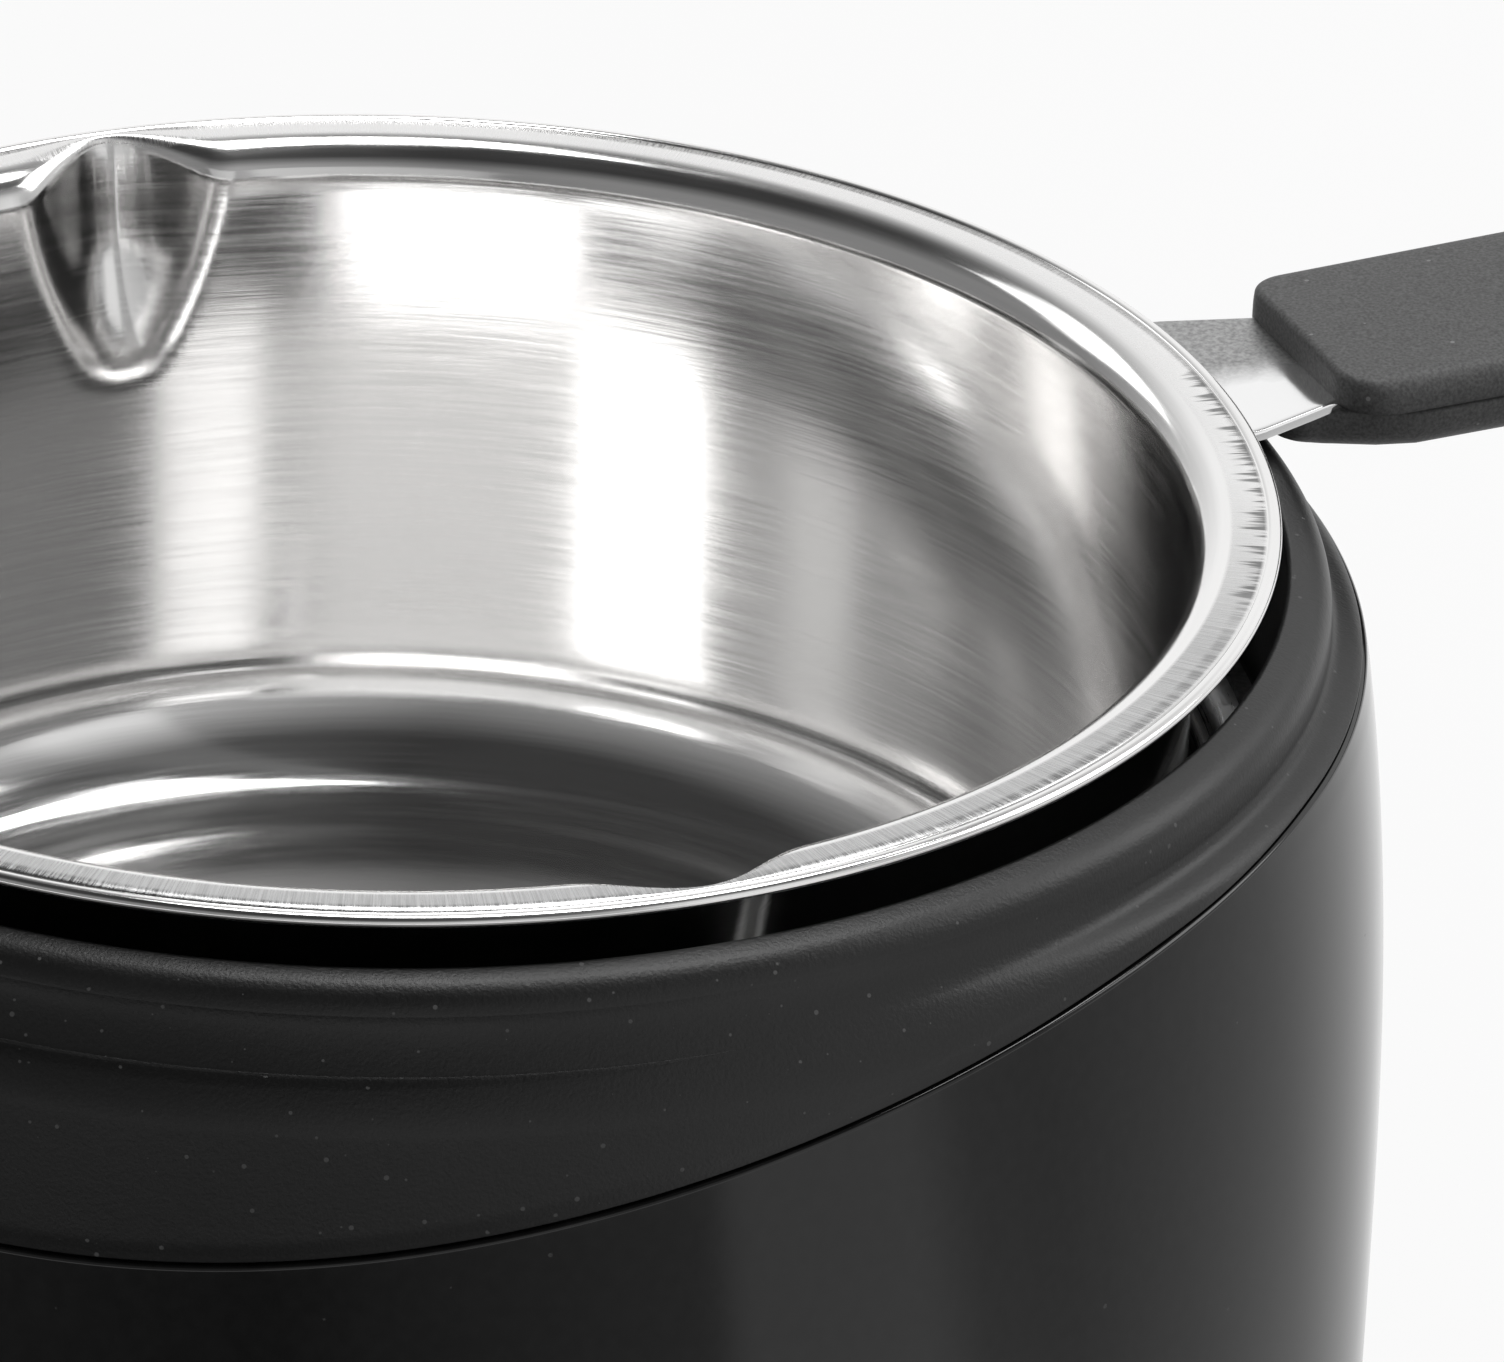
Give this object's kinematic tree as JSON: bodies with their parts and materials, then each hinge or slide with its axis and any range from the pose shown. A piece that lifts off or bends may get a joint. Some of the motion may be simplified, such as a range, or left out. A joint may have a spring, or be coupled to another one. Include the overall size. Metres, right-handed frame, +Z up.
{
  "type": "electric chocolate melter",
  "caption": "Round black heated body with a sweeping collar and a front knob; a spouted steel pot with a side handle lifts out of it.",
  "frame": {"origin": "on the axis of the pot and body, in the plane of the four feet", "axes": "+Z up along the pot's axis, -Y towards the front, where the knob is, +X to the right"},
  "size_m": [0.2208, 0.2223, 0.1303],
  "materials": {
    "cover_black": "fine matte texture",
    "body_black": "polished gloss",
    "inner_black": "moulded matte",
    "foot_rubber": "matte",
    "screw_steel": "zinc plated",
    "well_aluminium": "spun satin",
    "seal_silicone": "matte silicone",
    "mica": "mica board",
    "plate_steel": "plain sheet",
    "switch_plastic": "moulded phenolic",
    "brass": "plain",
    "knob_black": "satin",
    "pointer_white": "satin",
    "lens_red": "clear tinted",
    "terminal_ceramic": "unglazed steatite",
    "pot_steel": "polished with a satin flange",
    "tang_steel": "satin",
    "grip_black": "soft-touch"
  },
  "bodies": {
    "base": {"top_cover": "cover_black", "lower_body": "body_black", "base_plate": "inner_black", "rubber_feet": "foot_rubber", "base_screws": "screw_steel", "cover_screws": "screw_steel", "heating_well": "well_aluminium", "well_seal": "seal_silicone", "well_screws": "screw_steel", "heating_element": "mica", "clamp_plate": "plate_steel", "clamp_nuts": "screw_steel", "shield_spacers": "plate_steel", "heat_shield": "plate_steel", "shield_nuts": "screw_steel", "thermostat": "switch_plastic", "thermal_fuse": "plate_steel", "fuse_clip": "plate_steel", "switch_body": "switch_plastic", "switch_tabs": "brass", "switch_washer": "screw_steel", "switch_nut": "brass", "pilot_lamp_lens": "lens_red", "pilot_lamp_holder": "inner_black", "cord_gland": "inner_black", "gland_nut": "inner_black", "terminal_block": "terminal_ceramic", "terminal_screws": "brass"},
    "knob_set": {"control_knob": "knob_black", "knob_pointer": "pointer_white", "switch_shaft": "plate_steel"},
    "pot_set": {"pot": "pot_steel", "handle_tang": "tang_steel", "handle_upper_shell": "grip_black", "handle_lower_shell": "grip_black", "handle_screws": "screw_steel"}
  },
  "joints": [
    {"name": "knob_turn", "type": "hinge", "parent": "base", "child": "knob_set", "pos_m": [0, -0.075, 0.06245], "axis": [0, 1, 0], "range_deg": [0, 120]},
    {"name": "pot_lift", "type": "slide", "parent": "base", "child": "pot_set", "axis": [0, 0, 1], "range_m": [0, 0.065]}
  ]
}
